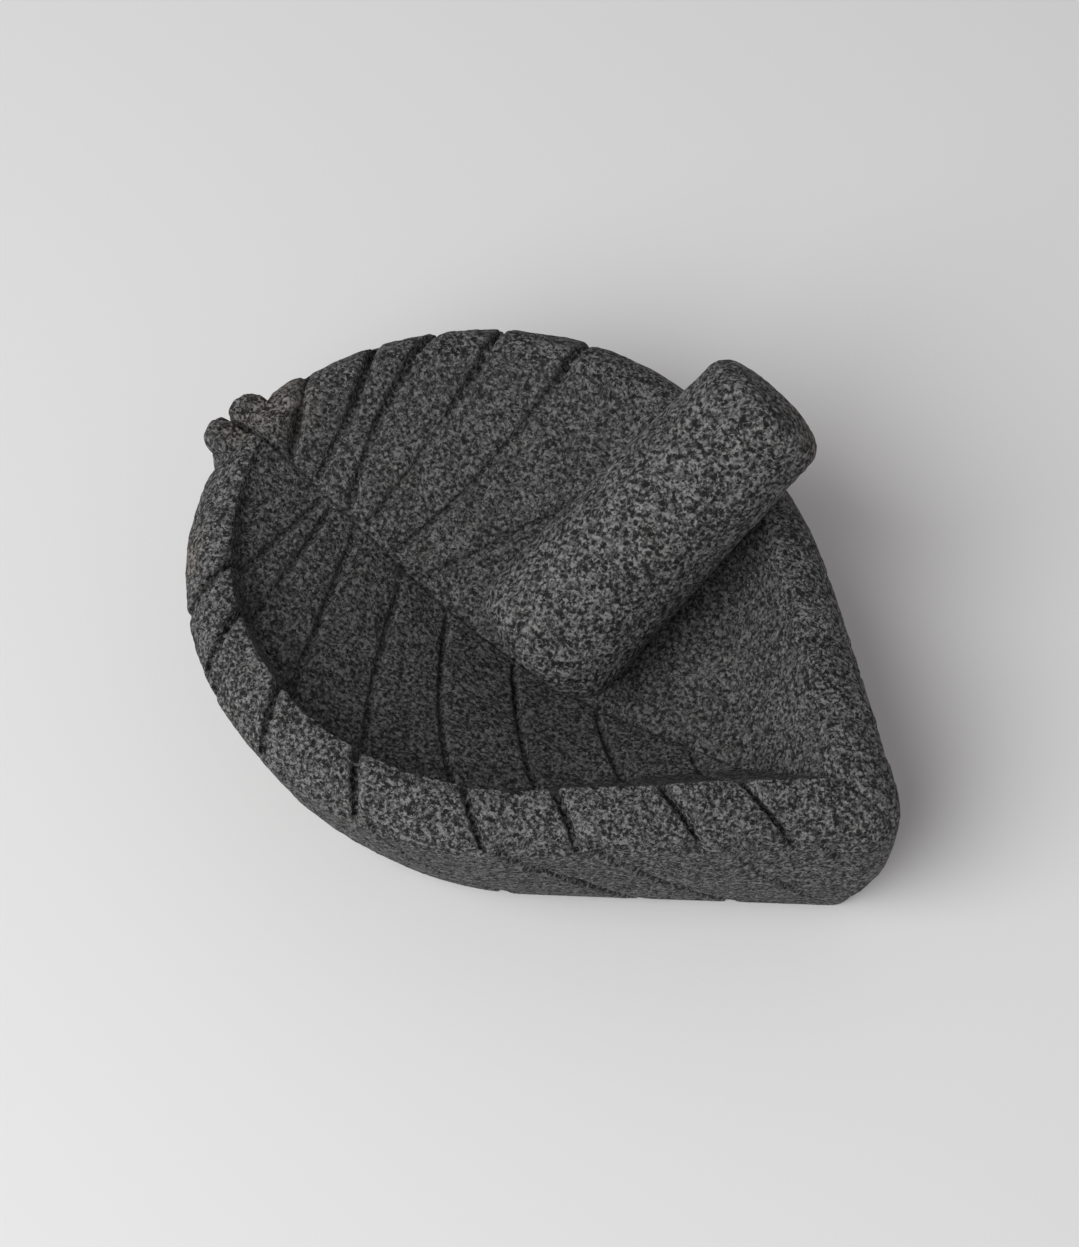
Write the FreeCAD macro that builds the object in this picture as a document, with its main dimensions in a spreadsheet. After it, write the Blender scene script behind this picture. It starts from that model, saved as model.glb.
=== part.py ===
import FreeCAD, Part
import math
import os
import re
import Sketcher
from FreeCAD import Placement, Rotation, Vector

# A leaf-shaped stone mortar carved from one block, and its loose cylindrical pestle.
# The mortar is drawn along the leaf, from the stem (x = 0) to the tip, and its Placement
# then puts the origin at the middle of the flat base. +Z is up.

SIZES = {
    # the leaf's outline at the crease, where the sloping rim meets the wall
    "crease_stem": 5,
    "crease_wide": 125,
    "crease_tip": 303,
    "crease_far": 117,
    "crease_near": 109,
    "crease_height": 70,
    "crease_tip_radius": 15,
    "far_straightness": 0.79,
    "near_straightness": 0.62,
    # how far the wall draws in below the crease
    "belly_inset": 8,
    "belly_tip_inset": 1,
    "belly_height": 38,
    "base_inset": 21,
    "base_tip_inset": 11,
    "base_tip_radius": 9,
    # the rounded rim, which slopes outwards and down to the crease
    "band_inset": 5,
    "band_height": 79.5,
    "rim_height": 85,
    "rim_stem": 21,
    "rim_wide": 124,
    "rim_tip": 278,
    "rim_far": 99,
    "rim_near": 89,
    "rim_lip": 0.5,
    "valley_radius": 2,
    # the hollow's steep walls: how far they lean in at two heights
    "lean_height": 66,
    "lean_stem": 6,
    "lean_far": 10,
    "lean_near": 5,
    "lean_tip": 20,
    "foot_height": 20,
    "foot_stem": 44,
    "foot_far": 44,
    "foot_near": 34,
    "foot_tip": 74,
    # the hollow's floor, two slopes that meet in a fold along the midrib
    "fold_centre": 152,
    "fold_floor": 26.7,
    "fold_radius": 123,
    "fold_stem_height": 96,
    "fold_tip_height": 71,
    "fold_end": 300,
    # the two slopes' outer ends, beside the rim
    "side_reach": 120,
    "near_floor": 70,
    "near_radius": 1500,
    "near_stem_height": 74,
    "near_tip_height": 75,
    "far_floor": 91,
    "far_radius": 1500,
    "far_stem_height": 95,
    "far_tip_height": 96,
    # the stub of the leaf's stem, cut off short
    "stub_end": 1,
    "stub_half_width": 14,
    "stub_top": 82,
    "stub_thickness": 34,
    "stub_rounding": 6,
    # carved veins
    "bold_width": 2.6,
    "bold_depth": 3,
    "fine_width": 2.4,
    "fine_depth": 1.4,
    "wall_width": 3.5,
    "wall_vein_lead": 1.5,
    "wall_vein_run": 44,
    "wall_vein_bow": -1,
    "head_vein_foot": 14,
    "slab_reach": 140,
    "slab_start": 15,
    # the pestle, a slightly tapered cylinder leaning from the hollow over the far rim
    "pestle_length": 138,
    "pestle_foot_radius": 30.5,
    "pestle_top_radius": 25.8,
    "pestle_foot_crown": 4,
    "pestle_top_crown": 5,
    "pestle_foot_rounding": 13,
    "pestle_top_rounding": 9,
    "pestle_x": 149.1,
    "pestle_y": -9.9,
    "pestle_z": 54.8,
    "pestle_heading": 71.5,
    "pestle_rise": 31.9,
    "origin_along_leaf": 150,
}

# Veins as they run over the leaf: start beside the midrib, end at the crease, and how far
# the middle bows towards the tip. The head veins fan over the round head of the leaf, and
# run on straight down its wall. The flank veins slant down the wall towards the tip.
HEAD_VEINS = (
    ((31, 2), (15, 34), 0.5),
    ((43, 2), (27, 62), 3),
    ((58, 2), (44, 87), -4),
    ((66, 2), (64, 101), 3.5),
    ((49, -2), (40, -80), 1),
)
FLANK_VEINS = (
    ((79, 2), (96, 114), 5.5),
    ((93, 4), (160, 112), 1),
    ((53, -2), (62, -98), 1),
    ((65, -4), (103, -116), -1),
    ((88, -6), (142, -106), -4),
    ((108, -4), (187, -91), -8),
    ((138, -2), (215, -72), -6),
    ((177, -2), (252, -46), -7),
    ((219, -2), (280, -26), -6),
)
FINE_VEINS = (
    ((130, 4), (222, 84), 3),
    ((176, 5), (254, 59), 8),
    ((235, 3), (280, 33), 2),
)

doc = FreeCAD.newDocument("molcajete")


def make_sheet():
    sheet = doc.addObject("Spreadsheet::Sheet", "Sizes")
    for row, (alias, value) in enumerate(SIZES.items(), start=1):
        sheet.set(f"A{row}", alias)
        sheet.set(f"B{row}", str(value))
        sheet.setAlias(f"B{row}", alias)
    doc.recompute()
    return sheet


sheet = make_sheet()


def size(expression):
    """The value of an expression written with the sheet's aliases."""
    return float(sheet.evalExpression(expression))


def bind(owner, path, expression):
    """Ties a property to an expression written with the sheet's aliases."""
    owner.setExpression(path, re.sub(r"\b([a-z]\w+)", r"Sizes.\1", expression))


def origin_plane(body, role):
    return next(f for f in body.Origin.OriginFeatures if f.Role == role)


def new_sketch(body, name, role="XY_Plane", offset=None):
    """A sketch on one of the body's own origin planes, offset along its normal."""
    sketch = body.newObject("Sketcher::SketchObject", name)
    sketch.AttachmentSupport = (origin_plane(body, role), [""])
    sketch.MapMode = "FlatFace"
    if offset is not None:
        sketch.AttachmentOffset = Placement(Vector(0, 0, size(offset)), Rotation())
        bind(sketch, "AttachmentOffset.Base.z", offset)
    return sketch


def dimension(sketch, kind, where, expression):
    """Adds a driving dimension tied to the sheet."""
    index = sketch.addConstraint(Sketcher.Constraint(kind, *where, size(expression)))
    bind(sketch, f"Constraints[{index}]", expression)


def arc(centre, radius, start, end):
    return Part.ArcOfCircle(Part.Circle(centre, Vector(0, 0, 1), radius), start, end)


def shoulder_radius(leaf, side):
    """The largest arc that reaches the tip from the widest point, tightened to leave a straight flank."""
    half = leaf[side]
    return (
        f"{side}_straightness * (({leaf['tip']} - ({leaf['wide']}))^2 / (2 * ({half}))"
        f" + ({half}) / 2)"
    )


def leaf_half(leaf, side):
    """The arcs of one half of the leaf, drawn above the midrib: head, shoulder, flank ends and lean."""
    stem, wide, tip = size(leaf["stem"]), size(leaf["wide"]), size(leaf["tip"])
    half, tip_radius = size(leaf[side]), size(leaf["tip_radius"])
    head = ((wide - stem) ** 2 + half**2) / (2 * half)
    shoulder = size(shoulder_radius(leaf, side))
    run, drop = tip - tip_radius - wide, half - shoulder
    lean = math.atan2(-drop, run) + math.acos((shoulder - tip_radius) / math.hypot(run, drop))
    outward = Vector(math.cos(lean), math.sin(lean), 0)
    return {
        "head_centre": Vector(wide, half - head, 0),
        "head_radius": head,
        "head_angle": math.atan2(head - half, stem - wide),
        "shoulder_centre": Vector(wide, drop, 0),
        "shoulder_radius": shoulder,
        "flank_start": Vector(wide, drop, 0) + outward * shoulder,
        "flank_end": Vector(tip - tip_radius, 0, 0) + outward * tip_radius,
        "lean": lean,
    }


def mirrored(point):
    return Vector(point.x, -point.y, 0)


def leaf_sketch(body, name, leaf):
    """A closed leaf outline: a round head, two shoulders, two straight flanks and a rounded tip."""
    sketch = new_sketch(body, name, offset=leaf["height"])
    far, near = leaf_half(leaf, "far"), leaf_half(leaf, "near")
    tip_centre = Vector(size(leaf["tip"]) - size(leaf["tip_radius"]), 0, 0)
    quarter, turn = math.pi / 2, 2 * math.pi
    sketch.addGeometry(arc(far["head_centre"], far["head_radius"], quarter, far["head_angle"]))
    sketch.addGeometry(arc(far["shoulder_centre"], far["shoulder_radius"], far["lean"], quarter))
    sketch.addGeometry(Part.LineSegment(far["flank_end"], far["flank_start"]))
    sketch.addGeometry(arc(tip_centre, size(leaf["tip_radius"]), -near["lean"], far["lean"]))
    sketch.addGeometry(
        Part.LineSegment(mirrored(near["flank_start"]), mirrored(near["flank_end"]))
    )
    near_shoulder = mirrored(near["shoulder_centre"])
    sketch.addGeometry(arc(near_shoulder, near["shoulder_radius"], -quarter, -near["lean"]))
    near_head = mirrored(near["head_centre"])
    sketch.addGeometry(
        arc(near_head, near["head_radius"], turn - near["head_angle"], turn - quarter)
    )
    for joint in ((2, 2, 1, 1), (3, 2, 2, 1), (4, 2, 3, 1), (4, 1, 5, 2)):
        sketch.addConstraint(Sketcher.Constraint("Tangent", *joint))
    for joint in ((0, 1, 1, 2), (5, 1, 6, 2), (0, 2, 6, 1)):
        sketch.addConstraint(Sketcher.Constraint("Coincident", *joint))
    for centre in ((0, 3, 0, 1), (1, 3, 0, 1), (5, 3, 5, 1), (6, 3, 5, 1)):
        sketch.addConstraint(Sketcher.Constraint("Vertical", *centre))
    for on_midrib in ((0, 2, -1), (3, 3, -1)):
        sketch.addConstraint(Sketcher.Constraint("PointOnObject", *on_midrib))
    dimension(sketch, "DistanceX", (-1, 1, 0, 2), leaf["stem"])
    dimension(sketch, "DistanceX", (-1, 1, 0, 1), leaf["wide"])
    dimension(sketch, "DistanceX", (-1, 1, 5, 1), leaf["wide"])
    dimension(sketch, "DistanceX", (-1, 1, 3, 3), f"{leaf['tip']} - ({leaf['tip_radius']})")
    dimension(sketch, "DistanceY", (-1, 1, 0, 1), leaf["far"])
    dimension(sketch, "DistanceY", (5, 1, -1, 1), leaf["near"])
    dimension(sketch, "Radius", (3,), leaf["tip_radius"])
    dimension(sketch, "Radius", (1,), shoulder_radius(leaf, "far"))
    dimension(sketch, "Radius", (5,), shoulder_radius(leaf, "near"))
    return sketch


def wall_leaf(inset, tip_inset, height, tip_radius="crease_tip_radius"):
    """The outer outline at a height of the wall, drawn in from the crease."""
    return {
        "stem": f"crease_stem + {inset}",
        "wide": "crease_wide",
        "tip": f"crease_tip - ({tip_inset})",
        "far": f"crease_far - ({inset})",
        "near": f"crease_near - ({inset})",
        "tip_radius": tip_radius,
        "height": height,
    }


def rim_leaf(grow, height):
    """The inner edge of the rim, grown or shrunk by an expression."""
    return {
        "stem": f"rim_stem - {grow}",
        "wide": "rim_wide",
        "tip": f"rim_tip + {grow}",
        "far": f"rim_far + {grow}",
        "near": f"rim_near + {grow}",
        "tip_radius": "valley_radius",
        "height": height,
    }


def lean_leaf(level, sink):
    """The outline of the hollow's walls at one height, drawn in from the rim's inner edge."""
    return {
        "stem": f"rim_stem + {level}_stem - {sink}",
        "wide": "rim_wide",
        "tip": f"rim_tip - {level}_tip + {sink}",
        "far": f"rim_far - {level}_far + {sink}",
        "near": f"rim_near - {level}_near + {sink}",
        "tip_radius": "valley_radius",
        "height": f"{level}_height",
    }


def cut(name, base, tool):
    result = doc.addObject("Part::Cut", name)
    result.Base = base
    result.Tool = tool
    return result


def loft(body, name, leaves):
    """Lofts the body through a stack of leaf outlines."""
    sketches = [leaf_sketch(body, f"{name}_{place}", leaf) for place, leaf in enumerate(leaves)]
    feature = body.newObject("PartDesign::AdditiveLoft", name)
    feature.Profile = sketches[0]
    feature.Sections = sketches[1:]
    doc.recompute()
    return feature


def add_stub(body, inset):
    """The stub of the stem: a block with rounded corners standing out of the leaf's round head."""
    sketch = new_sketch(body, "stub_outline", offset=f"stub_top - 2 * {inset}")
    left, right = size(f"stub_end + {inset}"), size("rim_stem + 4")
    half, rounding = size(f"stub_half_width - {inset}"), size("stub_rounding")
    bend, level = left + rounding, half - rounding
    quarter = math.pi / 2
    sketch.addGeometry(Part.LineSegment(Vector(bend, -half, 0), Vector(right, -half, 0)))
    sketch.addGeometry(Part.LineSegment(Vector(right, -half, 0), Vector(right, half, 0)))
    sketch.addGeometry(Part.LineSegment(Vector(right, half, 0), Vector(bend, half, 0)))
    sketch.addGeometry(arc(Vector(bend, level, 0), rounding, quarter, 2 * quarter))
    sketch.addGeometry(Part.LineSegment(Vector(left, level, 0), Vector(left, -level, 0)))
    sketch.addGeometry(arc(Vector(bend, -level, 0), rounding, 2 * quarter, 3 * quarter))
    for joint in ((0, 2, 1, 1), (1, 2, 2, 1)):
        sketch.addConstraint(Sketcher.Constraint("Coincident", *joint))
    for joint in ((2, 2, 3, 1), (3, 2, 4, 1), (4, 2, 5, 1), (5, 2, 0, 1)):
        sketch.addConstraint(Sketcher.Constraint("Tangent", *joint))
    for kind, line in (("Horizontal", 0), ("Vertical", 1), ("Horizontal", 2), ("Vertical", 4)):
        sketch.addConstraint(Sketcher.Constraint(kind, line))
    dimension(sketch, "Radius", (3,), "stub_rounding")
    dimension(sketch, "Radius", (5,), "stub_rounding")
    dimension(sketch, "DistanceX", (-1, 1, 4, 1), f"stub_end + {inset}")
    dimension(sketch, "DistanceX", (-1, 1, 1, 1), "rim_stem + 4")
    dimension(sketch, "DistanceY", (-1, 1, 1, 2), f"stub_half_width - {inset}")
    dimension(sketch, "DistanceY", (1, 1, -1, 1), f"stub_half_width - {inset}")
    pad = body.newObject("PartDesign::Pad", "stub")
    pad.Profile = sketch
    bind(pad, "Length", "stub_thickness")
    pad.Reversed = True
    doc.recompute()


def wall_stack(sink):
    """The wall's outlines from base to crease, drawn in by the sink."""
    return [
        wall_leaf(f"base_inset + {sink}", f"base_tip_inset + {sink}", "0", "base_tip_radius"),
        wall_leaf(f"belly_inset + {sink}", f"belly_tip_inset + {sink}", "belly_height"),
        wall_leaf(sink, sink, "crease_height"),
    ]


def rim_stack(sink, foot="crease_height"):
    """The rim's outlines from the crease to the top, lowered and drawn in by the sink."""
    inset = f"band_inset + {sink} / 2"
    return [
        wall_leaf(sink, sink, foot),
        wall_leaf(inset, inset, f"band_height - {sink}"),
        rim_leaf("rim_lip", f"rim_height - {sink}"),
    ]


def tangent_point(centre, radius, point):
    """Where the tangent from a point above touches the underside of a circle."""
    reach = point - centre
    turn = math.acos(radius / reach.Length)
    angle = math.atan2(reach.y, reach.x) + math.copysign(turn, -reach.x)
    return centre + Vector(math.cos(angle), math.sin(angle), 0) * radius


def fold_sketch(body, name, across, profile, sink):
    """The floor seen from the side, closed well above the rim: two slopes joined by an arc."""
    sketch = new_sketch(body, name, "XZ_Plane", across)
    floor, stem_end = f"{profile}_floor - {sink}", f"{profile}_stem_height - {sink}"
    tip_end, radius = f"{profile}_tip_height - {sink}", f"{profile}_radius"
    centre = Vector(size("fold_centre"), size(f"{floor} + {radius}"), 0)
    start = Vector(0, size(stem_end), 0)
    end = Vector(size("fold_end"), size(tip_end), 0)
    first = tangent_point(centre, size(radius), start)
    last = tangent_point(centre, size(radius), end)
    angles = [math.atan2(spot.y - centre.y, spot.x - centre.x) for spot in (first, last)]
    top = size("rim_height + 20")
    sketch.addGeometry(Part.LineSegment(start, first))
    sketch.addGeometry(arc(centre, size(radius), *angles))
    sketch.addGeometry(Part.LineSegment(last, end))
    corners = (end, Vector(end.x, top, 0), Vector(0, top, 0), start)
    for here, there in zip(corners, corners[1:]):
        sketch.addGeometry(Part.LineSegment(here, there))
    for joint in ((0, 2, 1, 1), (1, 2, 2, 1)):
        sketch.addConstraint(Sketcher.Constraint("Tangent", *joint))
    for joint in ((2, 2, 3, 1), (3, 2, 4, 1), (4, 2, 5, 1), (5, 2, 0, 1)):
        sketch.addConstraint(Sketcher.Constraint("Coincident", *joint))
    for kind, line in (("Vertical", 3), ("Horizontal", 4)):
        sketch.addConstraint(Sketcher.Constraint(kind, line))
    for on_axis in ((0, 1, -2), (4, 2, -2)):
        sketch.addConstraint(Sketcher.Constraint("PointOnObject", *on_axis))
    dimension(sketch, "Radius", (1,), radius)
    dimension(sketch, "DistanceX", (-1, 1, 1, 3), "fold_centre")
    dimension(sketch, "DistanceY", (-1, 1, 1, 3), f"{floor} + {radius}")
    dimension(sketch, "DistanceY", (-1, 1, 0, 1), stem_end)
    dimension(sketch, "DistanceX", (-1, 1, 2, 2), "fold_end")
    dimension(sketch, "DistanceY", (-1, 1, 2, 2), tip_end)
    dimension(sketch, "DistanceY", (-1, 1, 3, 2), "rim_height + 20")
    return sketch


def make_hollow(name, sink):
    """The space carved out of the block: inside the steep walls and above the folded floor."""
    walls = doc.addObject("PartDesign::Body", f"{name}_walls")
    rim = rim_leaf(sink, "rim_height + 1")
    loft(walls, "walls", [rim, lean_leaf("lean", sink), lean_leaf("foot", sink)])
    fold = doc.addObject("PartDesign::Body", f"{name}_fold")
    sketches = [
        fold_sketch(fold, "near_side", "side_reach", "near", sink),
        fold_sketch(fold, "midrib", "0", "fold", sink),
        fold_sketch(fold, "far_side", "-side_reach", "far", sink),
    ]
    slopes = fold.newObject("PartDesign::AdditiveLoft", "slopes")
    slopes.Profile = sketches[0]
    slopes.Sections = sketches[1:]
    slopes.Ruled = True
    hollow = doc.addObject("Part::Common", name)
    hollow.Base = walls
    hollow.Tool = fold
    return hollow


def make_block(name, wall_sink="0", rim_sink="0", foot="crease_height"):
    """A leaf-shaped bowl. Sunk inside the real one, it limits how deep the veins are cut."""
    body = doc.addObject("PartDesign::Body", f"{name}_block")
    loft(body, "wall", wall_stack(wall_sink))
    loft(body, "rim", rim_stack(rim_sink, foot))
    add_stub(body, rim_sink)
    return cut(name, body, make_hollow(f"{name}_hollow", rim_sink))


def vein_slab(name, start, end, bow, across="Z", width="bold_width"):
    """A curved slab along a vein, one vein wide: a slice of a tube through the vein's ends."""
    run = Vector(end[0] - start[0], end[1] - start[1], 0)
    side = Vector(abs(run.y), math.copysign(run.x, -run.x * run.y), 0).normalize()
    radius = (run.Length**2 / 4 + bow**2) / (2 * abs(bow))
    centre = Vector(*start, 0) + run / 2 + side * (bow - math.copysign(radius, bow))
    spokes = [Vector(*point, 0) - centre for point in (start, end)]
    angles = [math.degrees(math.atan2(spoke.y, spoke.x)) for spoke in spokes]
    sweep = (angles[1] - angles[0] + 180) % 360 - 180
    first = angles[0] if sweep > 0 else angles[1]
    turn = Rotation(Vector(0, 0, 1), first)
    if across == "Z":
        place = Placement(Vector(centre.x, centre.y, size("head_vein_foot")), turn)
    else:
        upright = Rotation(Vector(1, 0, 0), 90)
        depth = "slab_start + slab_reach" if across == "far" else "-slab_start"
        place = Placement(Vector(centre.x, size(depth), centre.y), upright.multiply(turn))
    tube = []
    for label, sign in (("outer", "+"), ("inner", "-")):
        cylinder = doc.addObject("Part::Cylinder", f"{name}_{label}")
        bind(cylinder, "Radius", f"{radius} {sign} {width} / 2")
        bind(cylinder, "Height", "slab_reach")
        cylinder.Angle = abs(sweep)
        cylinder.Placement = place
        tube.append(cylinder)
    slab = doc.addObject("Part::Cut", name)
    slab.Base, slab.Tool = tube
    return slab


def fuse(name, shapes):
    result = doc.addObject("Part::MultiFuse", name)
    result.Shapes = shapes
    return result


def midrib_slab(name, start, end, width):
    """A straight slab over a stretch of the midrib."""
    box = doc.addObject("Part::Box", name)
    bind(box, "Length", f"{end} - ({start})")
    bind(box, "Width", width)
    bind(box, "Height", "slab_reach")
    corner = Vector(size(start), -size(width) / 2, size("head_vein_foot"))
    box.Placement = Placement(corner, Rotation())
    return box


def wall_vein(number, end):
    """A flank vein's stretch on the wall, slanting down towards the tip."""
    along, across = end
    side = "far" if across > 0 else "near"
    start = (along + size("wall_vein_lead"), size("crease_height + 12"))
    foot = (along + size("wall_vein_run"), -4)
    bow = size("wall_vein_bow")
    return vein_slab(f"wall_vein_{number}", start, foot, bow, side, "wall_width")


def vein_cutter(name, slabs, core):
    """The slabs without the core that limits their depth."""
    return cut(name, fuse(f"{name}_slabs", slabs), core)


def make_mortar():
    bowl = make_block("bowl")
    sunk = make_block("sunk_bowl", "bold_depth", "bold_depth")
    capped = make_block("capped_bowl", "-2", "bold_depth", "crease_height - 8")
    fine_capped = make_block("fine_capped_bowl", "-2", "fine_depth", "crease_height - 8")
    filled = doc.addObject("PartDesign::Body", "filled_bowl")
    loft(filled, "wall", wall_stack("bold_depth"))
    crease = wall_leaf("bold_depth", "bold_depth", "crease_height")
    loft(filled, "above", [crease, dict(crease, height="rim_height + 20")])
    head = [vein_slab(f"head_vein_{n}", *vein) for n, vein in enumerate(HEAD_VEINS, start=1)]
    head.append(midrib_slab("stub_midrib", "stub_end - 10", "rim_stem", "bold_width"))
    flank = [vein_slab(f"flank_vein_{n}", *vein) for n, vein in enumerate(FLANK_VEINS, start=1)]
    fine = [
        vein_slab(f"fine_vein_{n}", *vein, width="fine_width")
        for n, vein in enumerate(FINE_VEINS, start=1)
    ]
    fine.append(midrib_slab("midrib", "rim_stem", "crease_tip + 10", "fine_width"))
    wall_ends = [vein[1] for vein in FLANK_VEINS + FINE_VEINS]
    wall = [wall_vein(n, end) for n, end in enumerate(wall_ends, start=1)]
    cutters = [
        vein_cutter("head_cutter", head, sunk),
        vein_cutter("flank_cutter", flank, capped),
        vein_cutter("fine_cutter", fine, fine_capped),
        vein_cutter("wall_cutter", wall, filled),
    ]
    mortar = cut("mortar", bowl, fuse("veins", cutters))
    mortar.Label = "mortar_bowl"
    mortar.Placement = Placement(Vector(size("-origin_along_leaf"), 0, 0), Rotation())
    return mortar


def make_pestle():
    """A turned profile with crowned ends: foot at the origin, axis along Z."""
    body = doc.addObject("PartDesign::Body", "pestle_body")
    sketch = new_sketch(body, "profile", "XZ_Plane")
    length = size("pestle_length")
    foot, top = size("pestle_foot_radius"), size("pestle_top_radius")
    foot_crown, top_crown = size("pestle_foot_crown"), size("pestle_top_crown")
    foot_ball = (foot**2 + foot_crown**2) / (2 * foot_crown)
    top_ball = (top**2 + top_crown**2) / (2 * top_crown)
    foot_angle = math.asin(foot / foot_ball)
    top_angle = math.asin(top / top_ball)
    quarter = math.pi / 2
    sketch.addGeometry(Part.LineSegment(Vector(0, 0, 0), Vector(0, length, 0)))
    top_centre = Vector(0, length - top_ball, 0)
    sketch.addGeometry(arc(top_centre, top_ball, quarter - top_angle, quarter))
    sketch.addGeometry(
        Part.LineSegment(Vector(top, length - top_crown, 0), Vector(foot, foot_crown, 0))
    )
    foot_centre = Vector(0, foot_ball, 0)
    sketch.addGeometry(arc(foot_centre, foot_ball, -quarter, foot_angle - quarter))
    for joint in ((0, 1, -1, 1), (0, 2, 1, 2), (1, 1, 2, 1), (2, 2, 3, 2), (3, 1, 0, 1)):
        sketch.addConstraint(Sketcher.Constraint("Coincident", *joint))
    for on_axis in ((0, 2, -2), (1, 3, -2), (3, 3, -2)):
        sketch.addConstraint(Sketcher.Constraint("PointOnObject", *on_axis))
    dimension(sketch, "DistanceY", (0, 1, 0, 2), "pestle_length")
    dimension(sketch, "DistanceX", (-1, 1, 2, 1), "pestle_top_radius")
    dimension(sketch, "DistanceX", (-1, 1, 2, 2), "pestle_foot_radius")
    dimension(sketch, "DistanceY", (-1, 1, 2, 1), "pestle_length - pestle_top_crown")
    dimension(sketch, "DistanceY", (-1, 1, 2, 2), "pestle_foot_crown")
    turned = body.newObject("PartDesign::Revolution", "turned")
    turned.Profile = sketch
    turned.ReferenceAxis = (sketch, ["V_Axis"])
    turned.Angle = 360
    doc.recompute()
    round_rim(body, "round_foot", "pestle_foot_crown", "pestle_foot_rounding")
    round_rim(body, "round_top", "pestle_length - pestle_top_crown", "pestle_top_rounding")
    body.Label = "pestle"
    body.Placement = Placement(
        Vector(size("pestle_x - origin_along_leaf"), size("pestle_y"), size("pestle_z")),
        Rotation(size("pestle_heading"), 90 - size("pestle_rise"), 0),
    )
    return body


def round_rim(body, name, height, radius):
    """Rounds the circular edge that lies at one height of the turned profile."""
    level = size(height)
    edges = [
        f"Edge{number}"
        for number, edge in enumerate(body.Shape.Edges, start=1)
        if abs(edge.BoundBox.ZMin - level) < 0.01 and abs(edge.BoundBox.ZMax - level) < 0.01
    ]
    solid = body.Tip
    fillet = body.newObject("PartDesign::Fillet", name)
    fillet.Base = (solid, edges)
    bind(fillet, "Radius", radius)
    doc.recompute()


def check(parts):
    """Stops before anything is written if a feature failed or a part isn't one valid solid."""
    for item in doc.Objects:
        if "Invalid" in item.State or "Error" in item.State:
            raise SystemExit(f"{item.Name} failed: {item.State}")
    for item in parts:
        if item.Shape.isNull() or not item.Shape.isValid() or len(item.Shape.Solids) != 1:
            raise SystemExit(f"{item.Label} is not one valid solid")


parts = [make_mortar(), make_pestle()]
doc.recompute()
check(parts)
os.makedirs("parts", exist_ok=True)
for item in parts:
    item.Shape.exportStep(f"parts/{item.Label}.step")
    print(item.Label, round(item.Shape.Volume), item.Shape.optimalBoundingBox())
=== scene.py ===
import math

import bmesh
import bpy
import numpy as np
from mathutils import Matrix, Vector


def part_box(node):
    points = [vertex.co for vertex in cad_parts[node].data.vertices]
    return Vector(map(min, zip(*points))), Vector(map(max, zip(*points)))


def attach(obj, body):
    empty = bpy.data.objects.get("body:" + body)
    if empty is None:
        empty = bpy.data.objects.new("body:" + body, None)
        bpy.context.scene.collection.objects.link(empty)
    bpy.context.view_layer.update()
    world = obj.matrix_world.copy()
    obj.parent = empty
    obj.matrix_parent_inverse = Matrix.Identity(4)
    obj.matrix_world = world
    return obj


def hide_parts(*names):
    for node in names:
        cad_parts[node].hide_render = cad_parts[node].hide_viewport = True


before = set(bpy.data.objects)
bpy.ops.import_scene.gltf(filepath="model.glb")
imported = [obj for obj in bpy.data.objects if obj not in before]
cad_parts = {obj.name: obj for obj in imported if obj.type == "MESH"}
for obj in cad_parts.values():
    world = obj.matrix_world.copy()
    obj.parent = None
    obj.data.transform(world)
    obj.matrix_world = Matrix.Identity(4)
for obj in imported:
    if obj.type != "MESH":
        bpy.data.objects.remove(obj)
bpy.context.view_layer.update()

# A leaf-shaped mortar of dark vesicular basalt and its loose pestle. Both stones are
# remeshed finely from the frame and then carved: uneven faces, worn edges, teeth where
# the veins cross the rim, and open pits. Lengths are in metres, and mm() turns
# millimetres into them.


def mm(length):
    return length / 1000


# ---------------------------------------------------------------- mesh helpers


def dense_copy(node, name, spacing):
    """An evenly meshed copy of a frame node, ready to be carved."""
    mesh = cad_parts[node].data.copy()
    weld = bmesh.new()
    weld.from_mesh(mesh)
    bmesh.ops.remove_doubles(weld, verts=weld.verts, dist=mm(0.01))
    weld.to_mesh(mesh)
    weld.free()
    piece = bpy.data.objects.new(name, mesh)
    bpy.context.scene.collection.objects.link(piece)
    remesh = piece.modifiers.new("even_mesh", "REMESH")
    remesh.mode = "VOXEL"
    remesh.voxel_size = spacing
    smooth = piece.modifiers.new("soften", "SMOOTH")
    smooth.factor = 0.5
    smooth.iterations = 1
    scene_now = bpy.context.evaluated_depsgraph_get()
    even = bpy.data.meshes.new_from_object(piece.evaluated_get(scene_now))
    piece.modifiers.clear()
    piece.data = even
    even.name = name
    even.materials.clear()
    even.polygons.foreach_set("use_smooth", np.ones(len(even.polygons), bool))
    return piece


def read_rows(items, field, width, kind):
    flat = np.empty(len(items) * width, kind)
    items.foreach_get(field, flat)
    return flat.reshape(-1, width)


def read_points(mesh):
    return read_rows(mesh.vertices, "co", 3, np.float32).astype(float)


def read_normals(mesh):
    return read_rows(mesh.vertex_normals, "vector", 3, np.float32).astype(float)


def read_edges(mesh):
    return read_rows(mesh.edges, "vertices", 2, np.int32)


def write_points(mesh, points):
    mesh.vertices.foreach_set("co", points.astype(np.float32).ravel())
    mesh.update()


def blurred(values, edges, rounds):
    """Values, one row per vertex, averaged with their neighbours' again and again."""
    values = values.reshape(len(values), -1)
    count = np.bincount(edges.ravel(), minlength=len(values))[:, None] + 1
    for _ in range(rounds):
        total = values.copy()
        for column in range(values.shape[1]):
            there, here = values[edges[:, 0], column], values[edges[:, 1], column]
            total[:, column] += np.bincount(edges[:, 1], there, len(values))
            total[:, column] += np.bincount(edges[:, 0], here, len(values))
        values = total / count
    return values


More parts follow.
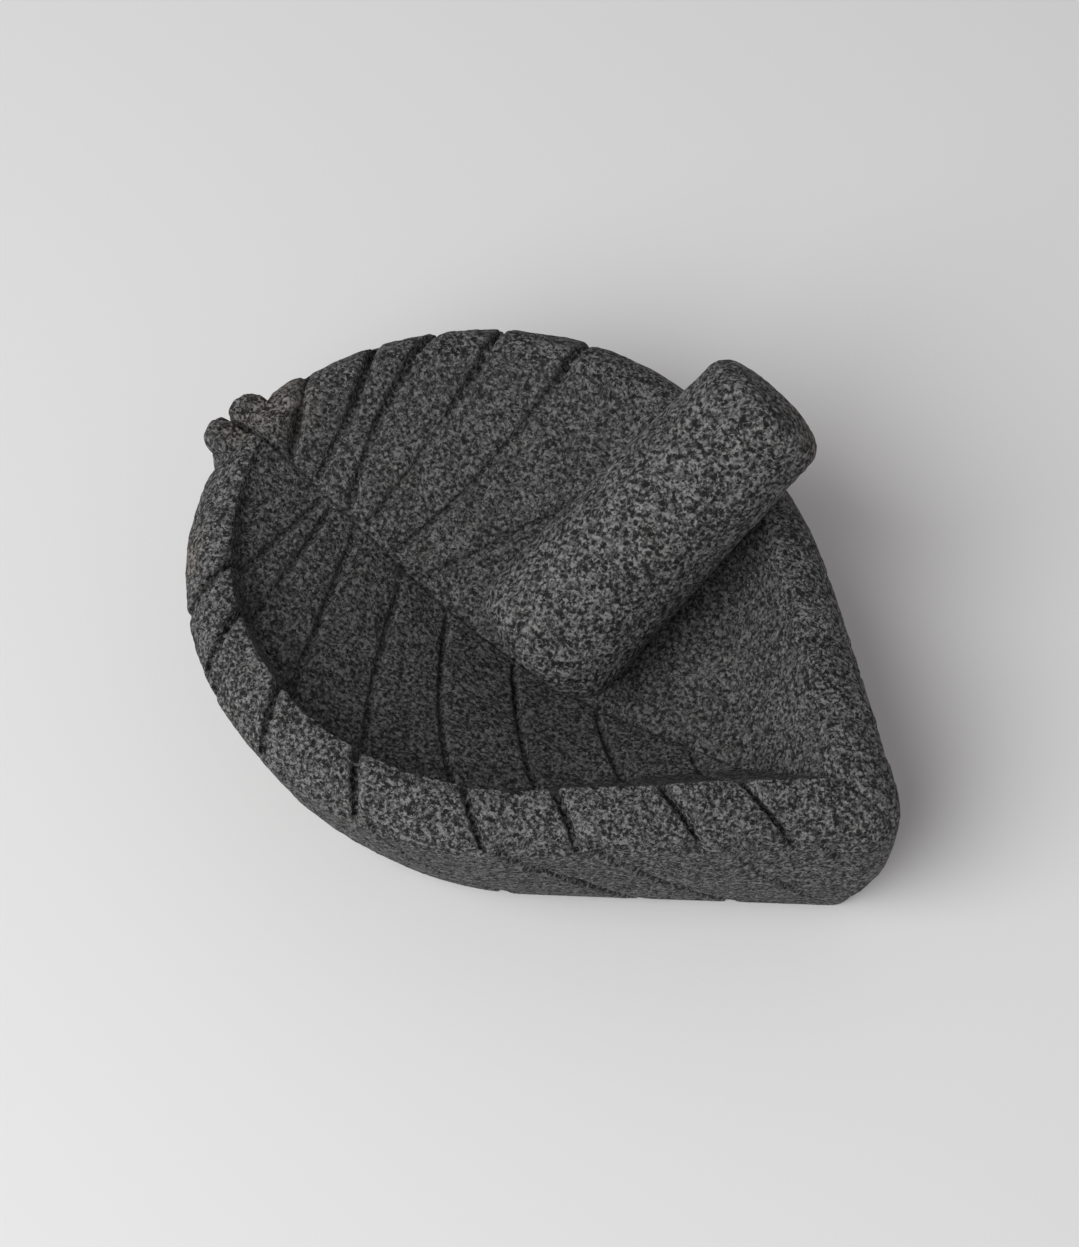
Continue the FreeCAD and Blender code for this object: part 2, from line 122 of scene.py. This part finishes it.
def hollowness(mesh, rounds):
    """How far each vertex lies below its surroundings: less than 0 on an edge."""
    points = read_points(mesh)
    surroundings = blurred(points, read_edges(mesh), rounds)
    return np.einsum("ij,ij->i", surroundings - points, read_normals(mesh))


def save_masks(mesh, **masks):
    """Store values per vertex under the names the material reads."""
    for name, values in masks.items():
        layer = mesh.attributes.new(name, "FLOAT", "POINT")
        layer.data.foreach_set("value", np.asarray(values, np.float32))


def ramp(values, low, high):
    """0 below low, 1 above high, and smooth between."""
    share = np.clip((values - low) / (high - low), 0, 1)
    return share * share * (3 - 2 * share)


def ramp_mm(values, limits):
    """A ramp between two limits in millimetres."""
    low, high = limits
    return ramp(values, mm(low), mm(high))


# how many cells each random grid has along a side before it repeats
NOISE_CELLS = 32
PIT_CELLS = 24


def soft_noise(points, size, seed):
    """Smooth noise from -1 to 1 whose bumps are about one size across."""
    table = np.random.default_rng(seed).uniform(-1, 1, (NOISE_CELLS,) * 3)
    place = points / size
    cell = np.floor(place).astype(int)
    share = place - cell
    share = share * share * (3 - 2 * share)
    total = np.zeros(len(points))
    for corner in np.ndindex(2, 2, 2):
        weight = np.prod(np.where(corner, share, 1 - share), axis=1)
        index = (cell + corner) % NOISE_CELLS
        total += weight * table[index[:, 0], index[:, 1], index[:, 2]]
    return total


def pit_depth(points, spacing, smallest, largest, share, seed):
    """Round pits in some cells of a jittered grid: 1 at a pit's middle, 0 outside."""
    random = np.random.default_rng(seed)
    grid = (PIT_CELLS,) * 3
    jitter = random.uniform(0.15, 0.85, (*grid, 3))
    radius = random.uniform(smallest, largest, grid)
    radius[random.random(grid) > share] = 0
    cell = np.floor(points / spacing).astype(int)
    depth = np.zeros(len(points))
    for step in np.ndindex(3, 3, 3):
        near = cell + np.array(step) - 1
        index = tuple((near % PIT_CELLS).T)
        distance = np.linalg.norm(points - (near + jitter[index]) * spacing, axis=1)
        reach = np.maximum(radius[index], 1e-9)
        depth = np.maximum(depth, np.clip(1 - (distance / reach) ** 2, 0, 1))
    return depth


# ---------------------------------------------------------------- veins

# Each vein of the leaf as it runs over the rim, in millimetres along the leaf and
# across it: start, end, and how far its middle bows towards the tip.
VEINS = (
    ((31, 2), (15, 34), 0.5),
    ((43, 2), (27, 62), 3),
    ((58, 2), (44, 87), -4),
    ((66, 2), (64, 101), 3.5),
    ((79, 2), (96, 114), 5.5),
    ((93, 4), (160, 112), 1),
    ((49, -2), (40, -80), 1),
    ((53, -2), (62, -98), 1),
    ((65, -4), (103, -116), -1),
    ((88, -6), (142, -106), -4),
    ((108, -4), (187, -91), -8),
    ((138, -2), (215, -72), -6),
    ((177, -2), (252, -46), -7),
    ((219, -2), (280, -26), -6),
)
# the midrib where it crosses the rim and the stub, in the same form
MIDRIB_ON_STUB = (((38, 0), (-2, 0), 0.1),)
STEM_TO_ORIGIN = 150


def vein_path(start, end, bow):
    """Points along a vein in plan, in metres, and the direction across it to the tip."""
    start, end = np.array(start, float), np.array(end, float)
    run = end - start
    across = np.array([run[1], -run[0]]) / np.linalg.norm(run)
    across *= math.copysign(1, across[0])
    share = np.linspace(0, 1, 25)[:, None]
    path = start + run * share + across * bow * 4 * share * (1 - share)
    return mm(path - [STEM_TO_ORIGIN, 0]), across


def tooth_profile(offset, stem_side, tip_side):
    """1 in the vein, falling to 0 at the stem side's reach or the tip side's."""
    reach = np.where(offset > 0, tip_side, stem_side)
    return np.clip(1 - np.abs(offset) / reach, 0, 1)


def rim_notches(points, veins, stem_side, tip_side):
    """How much each point is cut down where the veins cross the rim, from 0 to 1."""
    deepest = np.zeros(len(points))
    for start, end, bow in veins:
        path, across = vein_path(start, end, bow)
        gaps = points[:, None, :2] - path[None]
        distance = np.linalg.norm(gaps, axis=2)
        nearest = distance.argmin(axis=1)
        gap = gaps[np.arange(len(points)), nearest]
        offset = np.copysign(distance.min(axis=1), gap @ across)
        deepest = np.maximum(deepest, tooth_profile(offset, stem_side, tip_side))
    return deepest


# ---------------------------------------------------------------- the mortar

HOLLOW_MIDDLE = mm(np.array([-10.0, 0.0]))
# how far below the rim's top its inner edge is looked for, in millimetres
CREST_DEPTH = 1.0


def around(points):
    """The direction of points in plan, in whole degrees, and their distance."""
    sides = points[:, :2] - HOLLOW_MIDDLE
    degrees = np.degrees(np.arctan2(sides[:, 1], sides[:, 0])).astype(int) % 360
    return degrees, np.linalg.norm(sides, axis=1)


def into_hollow(points, rim_top):
    """How far each point lies inside the rim's inner edge in plan, or less than 0."""
    degrees, distance = around(points)
    crest = points[:, 2] > rim_top - mm(CREST_DEPTH)
    reach = np.full(360, np.inf)
    np.minimum.at(reach, degrees[crest], distance[crest])
    known = np.flatnonzero(np.isfinite(reach))
    reach = np.interp(np.arange(360), known, reach[known], period=360)
    wrapped = np.concatenate([reach[-3:], reach, reach[:3]])
    reach = np.convolve(wrapped, np.ones(7) / 7, "valid")
    return reach[degrees] - distance


def spots_near(points, spots):
    """1 at the middle of the nearest spot, falling to 0 at its reach."""
    nearest = np.zeros(len(points))
    for place, reach in spots:
        distance = np.linalg.norm(points - mm(np.array(place, float)), axis=1)
        nearest = np.maximum(nearest, 1 - ramp(distance, mm(reach) * 0.2, mm(reach)))
    return nearest


# where the stone has a brownish tint: the stub, the rim beside it, the wall below the
# round head and the rim by the pestle. A place and a reach, in millimetres.
MORTAR_WARM_SPOTS = (
    ((-135, 16, 80), 22),
    ((-140, -2, 80), 14),
    ((-128, -58, 78), 20),
    ((-70, -100, 30), 55),
    ((20, 108, 80), 16),
)
PESTLE_WARM_SPOTS = (((50, 100, 118), 26),)

# where the stub's two lobes and the rim beside them stand proud: a place, a reach and a
# height, in millimetres
PROUD_LUMPS = (
    ((-146, -8, 80), 10, 2.6),
    ((-145, 8, 80), 10, 1.8),
    ((-137, 23, 79), 14, 2.6),
)

# layers of unevenness: the size and the height of the bumps in millimetres, and a seed
MORTAR_BUMPS = ((34, 0.7, 11), (12, 0.35, 12), (4.5, 0.25, 13), (2.1, 0.22, 14))
PESTLE_BUMPS = ((30, 0.6, 21), (10, 0.3, 22), (3.2, 0.24, 23), (1.6, 0.2, 24))

# carved pits: their spacing, smallest radius, largest radius and depth in millimetres,
# the share of places that have one, and a seed
MORTAR_PITS = (3.4, 0.5, 1.25, 0.6, 0.5, 15)
PESTLE_PITS = (3.2, 0.5, 1.3, 0.75, 0.6, 25)

# the teeth: how far below the rim's top they start and are at full depth, how far a
# notch reaches towards the stem and the tip, and how deep it is, in millimetres
TEETH_START = 14
TEETH_FULL = 5
NOTCH_STEM_SIDE = 2.4
NOTCH_TIP_SIDE = 3.4
NOTCH_DEPTH = 4.0
MIDRIB_SIDE = 1.6
MIDRIB_SHARE = 0.7

# the size of the even mesh, and how far the pestle's face is worn back, in millimetres
MORTAR_SPACING = 1.0
PESTLE_SPACING = 0.75
PESTLE_WEAR = 0.3

# how much less uneven and less coarse the hollow is than the outside, as shares
HOLLOW_EVENNESS = 0.35
HOLLOW_FINENESS = 0.75

# the limits between which each part of a mask rises from 0 to 1, in millimetres
INSIDE_THE_RIM = (-0.5, 2.5)
ABOVE_THE_BASE = (0.5, 6)
FROM_THE_MIDRIB = (3, 40)
TOP_OF_THE_WALL = (66, 74)
UP_THE_WALL = (-30, 45)
VEIN_HOLLOWNESS = (0.3, 1.1)
WALL_HOLLOWNESS = (0.4, 1.0)
PESTLE_HOLLOWNESS = (0.3, 0.9)
EDGE_SHARPNESS = (0.15, 0.5)

# how many rounds of blurring show narrow and wide grooves, how dark the painted shade in
# the narrow ones is, and how dark a vein's painted shade still is at the midrib
NARROW_ROUNDS = 6
WIDE_ROUNDS = 16
GROOVE_SHADE_DARKNESS = 0.6
MIDRIB_SHADE_DARKNESS = 0.35


def uneven(points, layers):
    """How far a hand-carved face stands above or below the true one."""
    lift = np.zeros(len(points))
    for size, height, seed in layers:
        lift += soft_noise(points, mm(size), seed) * mm(height)
    return lift


def pitted(points, pits):
    """How deep a stone's pits are at each point."""
    spacing, smallest, largest, depth, share, seed = pits
    shape = pit_depth(points, mm(spacing), mm(smallest), mm(largest), share, seed)
    return shape * mm(depth)


def cut_teeth(points, rim_top):
    """Sink the rim where the veins and the midrib cross it, leaving teeth between."""
    rim = ramp(points[:, 2], rim_top - mm(TEETH_START), rim_top - mm(TEETH_FULL))
    on_rim = rim > 0
    crossing = points[on_rim]
    veins = rim_notches(crossing, VEINS, mm(NOTCH_STEM_SIDE), mm(NOTCH_TIP_SIDE))
    midrib = rim_notches(crossing, MIDRIB_ON_STUB, mm(MIDRIB_SIDE), mm(MIDRIB_SIDE))
    notch = np.zeros(len(points))
    notch[on_rim] = np.maximum(veins, midrib * MIDRIB_SHARE)
    points[:, 2] -= notch * rim * mm(NOTCH_DEPTH)


def mortar_lift(points, inside):
    """Uneven carving and pits, weaker in the worn hollow, and the proud lumps."""
    lift = uneven(points, MORTAR_BUMPS) - pitted(points, MORTAR_PITS)
    lift *= 1 - HOLLOW_EVENNESS * inside
    for place, reach, height in PROUD_LUMPS:
        lift += spots_near(points, ((place, reach),)) * mm(height)
    return lift * ramp_mm(points[:, 2], ABOVE_THE_BASE)


def mortar_grooves(mesh, points, sharp, inside):
    """Painted shade in the veins, fading towards the midrib, and in wider outer-wall
    grooves.
    """
    from_midrib = ramp_mm(np.abs(points[:, 1]), FROM_THE_MIDRIB)
    fading = MIDRIB_SHADE_DARKNESS + (1 - MIDRIB_SHADE_DARKNESS) * from_midrib
    # painted shade in the veins' grooves
    veins = ramp_mm(sharp, VEIN_HOLLOWNESS) * fading * GROOVE_SHADE_DARKNESS
    on_wall = (1 - inside) * (1 - ramp_mm(points[:, 2], TOP_OF_THE_WALL))
    # painted shade in the wide grooves of the outer wall
    wide = ramp_mm(hollowness(mesh, WIDE_ROUNDS), WALL_HOLLOWNESS) * on_wall
    return np.maximum(veins, wide)


def carve_mortar():
    piece = dense_copy("mortar_bowl", "mortar_stone", mm(MORTAR_SPACING))
    mesh = piece.data
    points = read_points(mesh)
    normals = read_normals(mesh)
    rim_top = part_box("mortar_bowl")[1].z
    cut_teeth(points, rim_top)
    inside = ramp_mm(into_hollow(points, rim_top), INSIDE_THE_RIM)
    points += normals * mortar_lift(points, inside)[:, None]
    write_points(mesh, points)

    sharp = hollowness(mesh, NARROW_ROUNDS)
    up_the_wall = ramp_mm(points[:, 2], UP_THE_WALL)
    save_masks(
        mesh,
        groove=mortar_grooves(mesh, points, sharp, inside),
        edge=ramp_mm(-sharp, EDGE_SHARPNESS),
        coarse=up_the_wall * (1 - HOLLOW_FINENESS * inside),
        inside=inside,
        warm=spots_near(points, MORTAR_WARM_SPOTS),
    )
    return piece


# ---------------------------------------------------------------- the pestle


def carve_pestle():
    piece = dense_copy("pestle", "pestle_stone", mm(PESTLE_SPACING))
    mesh = piece.data
    points = read_points(mesh)
    normals = read_normals(mesh)
    lift = uneven(points, PESTLE_BUMPS) - pitted(points, PESTLE_PITS)
    points += normals * (lift - mm(PESTLE_WEAR))[:, None]
    write_points(mesh, points)

    sharp = hollowness(mesh, NARROW_ROUNDS)
    save_masks(
        mesh,
        # painted shade where the pestle's face sinks
        groove=ramp_mm(sharp, PESTLE_HOLLOWNESS) * GROOVE_SHADE_DARKNESS,
        edge=ramp_mm(-sharp, EDGE_SHARPNESS),
        coarse=np.ones(len(points)),
        inside=np.zeros(len(points)),
        warm=spots_near(points, PESTLE_WARM_SPOTS),
    )
    return piece


mortar = carve_mortar()
pestle = carve_pestle()

# ---------------------------------------------------------------- stone


class Graph:
    """Short calls for building a node tree."""

    def __init__(self, tree):
        self.tree = tree

    def node(self, kind, inputs=(), **settings):
        made = self.tree.nodes.new(kind)
        for key, value in settings.items():
            setattr(made, key, value)
        for key, value in dict(inputs).items():
            if isinstance(value, bpy.types.NodeSocket):
                self.tree.links.new(value, made.inputs[key])
            else:
                made.inputs[key].default_value = value
        return made

    def math(self, operation, *values, clamp=False):
        made = self.node("ShaderNodeMath", enumerate(values), operation=operation)
        made.use_clamp = clamp
        return made.outputs[0]

    def vector(self, operation, *values):
        made = self.node("ShaderNodeVectorMath", enumerate(values), operation=operation)
        return made.outputs[0]

    def scaled(self, value, factor):
        inputs = {0: value, "Scale": factor}
        return self.node("ShaderNodeVectorMath", inputs, operation="SCALE").outputs[0]

    def ramp(self, value, low, high, bottom=0.0, top=1.0, shape="SMOOTHSTEP"):
        inputs = {"Value": value, "From Min": low, "From Max": high}
        inputs |= {"To Min": bottom, "To Max": top}
        made = self.node("ShaderNodeMapRange", inputs, interpolation_type=shape)
        return made.outputs["Result"]

    def span(self, value, low, high, bottom, top):
        """A straight map from one range to another, held within it."""
        return self.ramp(value, low, high, bottom, top, "LINEAR")

    def mix(self, factor, first, second):
        # a mix node's colour sockets are inputs 6 and 7 and output 2
        inputs = {0: factor, 6: first, 7: second}
        return self.node("ShaderNodeMix", inputs, data_type="RGBA").outputs[2]

    def noise(self, place, size, detail=2.0, roughness=0.5):
        """Noise whose features are about one size of the place's units across."""
        inputs = {"Vector": place, "Scale": 1 / size}
        inputs |= {"Detail": detail, "Roughness": roughness}
        return self.node("ShaderNodeTexNoise", inputs)

    def attribute(self, name):
        return self.node("ShaderNodeAttribute", attribute_name=name).outputs["Fac"]

    def cells(self, place, size):
        """A cell's distance from its middle, and its own random number."""
        inputs = {"Vector": place, "Scale": 1 / size}
        made = self.node("ShaderNodeTexVoronoi", inputs)
        colour = {"Color": made.outputs["Color"]}
        own = self.node("ShaderNodeSeparateColor", colour).outputs[0]
        return made.outputs["Distance"], own

    def spots(self, place, size, share, radius, softness):
        """Round spots of varied size in a share of the cells, from 0 to 1."""
        distance, own = self.cells(place, size)
        reach = self.ramp(own, 1 - share, 1, 0, radius)
        depth = self.math("SUBTRACT", reach, distance)
        return self.ramp(depth, -softness / 2, softness / 2)


def grey(value, warmth=0.0):
    """A linear colour that leans towards brown by its warmth."""
    return (value * (1 + warmth), value, value * (1 - warmth), 1)


# sizes in millimetres: over what length and how far grains are bent out of shape, broad
# changes of tone, and brownish patches
WOBBLE_SIZE = 1.3
WOBBLE_REACH = 2.6
BROAD_SIZE = 26
PATCH_SIZE = 17

# how light a grain is comes from its own number and a blotch over several grains
GRAIN_SHARE = 0.45
BLOTCH_SHARE = 0.55
FINE_CONTRAST = 1.9
COARSE_CONTRAST = 2.3
TONE_POWER = 1.35
BROAD_TONES = (0.86, 1.14)
# painted shade: how dark the hollow is painted, as a share of the outside's tone
HOLLOW_SHADE_TONE = 0.85

# a grey, and for some its warmth
DARKEST_GRAIN = 0.012
LIGHTEST_GRAIN = 0.205
BROWN_DARKEST, BROWN_DARKEST_WARMTH = 0.015, 0.14
BROWN_LIGHTEST, BROWN_LIGHTEST_WARMTH = 0.22, 0.10
WORN_EDGE, WORN_EDGE_WARMTH = 0.17, 0.02
# the last two greys are painted shade inside the pits and the grooves
PIT_SHADE_GREY = 0.006
GROOVE_SHADE_GREY = 0.009

# how much of each shows through
PATCH_SHARE = 0.15
BROWN_SHARE = 0.75
WORN_SHARE = 0.16
# the next share is painted shade in the grooves
GROOVE_SHADE_SHARE = 0.9
SMALL_PIT_SHARE = 0.8
# the next two shares are painted shade in the pits, in fine and in coarse stone
PIT_SHADE_FINE = 0.6
PIT_SHADE_COARSE = 0.92

RELIEF_DEPTH = mm(0.6)


def grain_tone(graph, place, bent, coarse, grain_size):
    """Grain lightness from 0 to 1, more contrast in coarse stone, painted shade in the
    hollow.
    """
    grain = graph.cells(bent, grain_size)[1]
    blotch = graph.noise(place, grain_size * 1.5, 3, 0.65).outputs["Fac"]
    blotch = graph.span(blotch, 0.3, 0.7, 0, 1)
    blotch = graph.math("MULTIPLY", blotch, BLOTCH_SHARE)
    tone = graph.math("MULTIPLY_ADD", grain, GRAIN_SHARE, blotch)
    contrast = graph.span(coarse, 0, 1, FINE_CONTRAST, COARSE_CONTRAST)
    tone = graph.math("MULTIPLY", graph.math("SUBTRACT", tone, 0.5), contrast)
    tone = graph.math("ADD", tone, 0.5, clamp=True)
    tone = graph.math("POWER", tone, TONE_POWER)
    broad = graph.noise(place, BROAD_SIZE, 3, 0.6).outputs["Fac"]
    tone = graph.math("MULTIPLY", tone, graph.span(broad, 0.3, 0.7, *BROAD_TONES))
    # painted shade: the hollow's inside is darkened
    hollow = graph.span(graph.attribute("inside"), 0, 1, 1, HOLLOW_SHADE_TONE)
    return graph.math("MULTIPLY", tone, hollow)


def stained(graph, place, tone, brightness):
    """Grey grains, brownish patches, and worn edges that are a little lighter."""
    dark = grey(DARKEST_GRAIN * brightness)
    light = grey(LIGHTEST_GRAIN * brightness)
    colour = graph.mix(tone, dark, light)
    patchy = graph.noise(place, PATCH_SIZE, 2).outputs["Fac"]
    patchy = graph.span(patchy, 0.5, 0.66, 0, PATCH_SHARE)
    warm = graph.math("MAXIMUM", graph.attribute("warm"), patchy)
    dark = grey(BROWN_DARKEST * brightness, BROWN_DARKEST_WARMTH)
    light = grey(BROWN_LIGHTEST * brightness, BROWN_LIGHTEST_WARMTH)
    brown = graph.mix(tone, dark, light)
    colour = graph.mix(graph.math("MULTIPLY", warm, BROWN_SHARE), colour, brown)
    worn = graph.math("MULTIPLY", graph.attribute("edge"), WORN_SHARE)
    return graph.mix(worn, colour, grey(WORN_EDGE * brightness, WORN_EDGE_WARMTH))


def open_pits(graph, bent, pit_size):
    """Large and small pits, from 0 to 1."""
    big = graph.spots(bent, pit_size, 0.6, 0.5, 0.3)
    small = graph.spots(bent, pit_size * 0.55, 0.55, 0.5, 0.4)
    return graph.math("MAXIMUM", big, graph.math("MULTIPLY", small, SMALL_PIT_SHARE))


def stone_material(name, grain_size, pit_size, brightness):
    """Basalt: grains of every grey, a few brownish patches, pits painted near-black as
    shade.
    """
    material = bpy.data.materials.new(name)
    material.use_nodes = True
    graph = Graph(material.node_tree)
    graph.tree.nodes.clear()
    raw = graph.node("ShaderNodeTexCoord").outputs["Object"]
    place = graph.scaled(raw, 1000.0)
    wobble = graph.noise(place, WOBBLE_SIZE, 2).outputs["Color"]
    wobble = graph.vector("SUBTRACT", wobble, (0.5, 0.5, 0.5))
    bent = graph.vector("ADD", place, graph.scaled(wobble, WOBBLE_REACH))
    coarse = graph.attribute("coarse")
    tone = grain_tone(graph, place, bent, coarse, grain_size)
    colour = stained(graph, place, tone, brightness)

    # painted shade: pits are painted near-black, the more so where the stone is coarse,
    # and grooves are painted dark
    pit = open_pits(graph, bent, pit_size)
    share = graph.span(coarse, 0, 1, PIT_SHADE_FINE, PIT_SHADE_COARSE)
    colour = graph.mix(graph.math("MULTIPLY", pit, share), colour, grey(PIT_SHADE_GREY))
    shade = graph.math("MULTIPLY", graph.attribute("groove"), GROOVE_SHADE_SHARE)
    colour = graph.mix(shade, colour, grey(GROOVE_SHADE_GREY))

    # relief: pits sink, light grains stand up
    height = graph.math("MULTIPLY_ADD", tone, 0.5, graph.math("MULTIPLY", pit, -1.0))
    relief = {"Height": height, "Strength": 0.9, "Distance": RELIEF_DEPTH}
    bump = graph.node("ShaderNodeBump", relief)
    shader = graph.node(
        "ShaderNodeBsdfPrincipled",
        {
            "Base Color": colour,
            "Roughness": 0.88,
            "Specular IOR Level": 0.3,
            "Normal": bump.outputs["Normal"],
        },
    )
    surface = graph.node("ShaderNodeOutputMaterial")
    graph.tree.links.new(shader.outputs["BSDF"], surface.inputs["Surface"])
    return material


mortar.data.materials.append(stone_material("basalt_mortar", 1.0, 1.9, 1.0))
pestle.data.materials.append(stone_material("basalt_pestle", 1.15, 2.2, 1.04))
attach(mortar, "mortar")
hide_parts("mortar_bowl")
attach(pestle, "pestle")
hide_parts("pestle")

# ---------------------------------------------------------------- floor, light, camera

CAMERA_AZIMUTH = math.radians(34.75)
CAMERA_ELEVATION = math.radians(60)
CAMERA_DISTANCE = 1.05
CAMERA_LENS = 80.33
FLOOR_REACH = 3.0
FLOOR_COLOUR = (0.84, 0.835, 0.835, 1)
ROOM_COLOUR = (1.0, 0.965, 0.98, 1)
aim = Vector((-0.0035, 0.0029, 0.060))
rightwards = Vector((math.cos(CAMERA_AZIMUTH), math.sin(CAMERA_AZIMUTH), 0))
away = Vector((-math.sin(CAMERA_AZIMUTH), math.cos(CAMERA_AZIMUTH), 0))
up = Vector((0, 0, 1))


def floor_plane(half):
    sheet = bmesh.new()
    corners = [(-half, -half, 0), (half, -half, 0), (half, half, 0), (-half, half, 0)]
    sheet.faces.new([sheet.verts.new(corner) for corner in corners])
    data = bpy.data.meshes.new("floor")
    sheet.to_mesh(data)
    sheet.free()
    plane = bpy.data.objects.new("floor", data)
    bpy.context.scene.collection.objects.link(plane)
    material = bpy.data.materials.new("pale_floor")
    material.use_nodes = True
    shader = material.node_tree.nodes["Principled BSDF"]
    shader.inputs["Base Color"].default_value = FLOOR_COLOUR
    shader.inputs["Roughness"].default_value = 0.9
    shader.inputs["Specular IOR Level"].default_value = 0.1
    data.materials.append(material)
    return plane


def soft_light(name, place, size, power, colour):
    data = bpy.data.lights.new(name, "AREA")
    data.shape = "DISK"
    data.size = size
    data.energy = power
    data.color = colour
    light = bpy.data.objects.new(name, data)
    light.location = place
    light.rotation_euler = (aim - place).to_track_quat("-Z", "Y").to_euler()
    bpy.context.scene.collection.objects.link(light)


floor = floor_plane(FLOOR_REACH)

# one large soft window above, to the left and on the camera's side
WINDOW_PLACE = aim - rightwards * 1.25 - away * 1.05 + up * 1.7
WINDOW_SIZE = 2.2
WINDOW_POWER = 52
WINDOW_COLOUR = (0.985, 1.0, 0.995)
soft_light("window", WINDOW_PLACE, WINDOW_SIZE, WINDOW_POWER, WINDOW_COLOUR)

# the room's own light, a little stronger from the sides than from overhead
HORIZON_LIGHT = 0.44
OVERHEAD_LIGHT = 0.25
world = bpy.data.worlds.new("room")
world.use_nodes = True
sky = Graph(world.node_tree)
background = world.node_tree.nodes["Background"]
background.inputs["Color"].default_value = ROOM_COLOUR
height = sky.node("ShaderNodeTexCoord").outputs["Generated"]
height = sky.node("ShaderNodeSeparateXYZ", {0: height}).outputs["Z"]
glow = sky.span(height, 0, 1, HORIZON_LIGHT, OVERHEAD_LIGHT)
world.node_tree.links.new(glow, background.inputs["Strength"])
bpy.context.scene.world = world

lens = bpy.data.cameras.new("camera")
lens.lens = CAMERA_LENS
lens.sensor_width = 36
camera = bpy.data.objects.new("camera", lens)
back = -away * math.cos(CAMERA_ELEVATION) + up * math.sin(CAMERA_ELEVATION)
camera.location = aim + back * CAMERA_DISTANCE
camera.rotation_euler = (-back).to_track_quat("-Z", "Y").to_euler()
bpy.context.scene.collection.objects.link(camera)
bpy.context.scene.camera = camera
bpy.context.scene.view_settings.view_transform = "Standard"
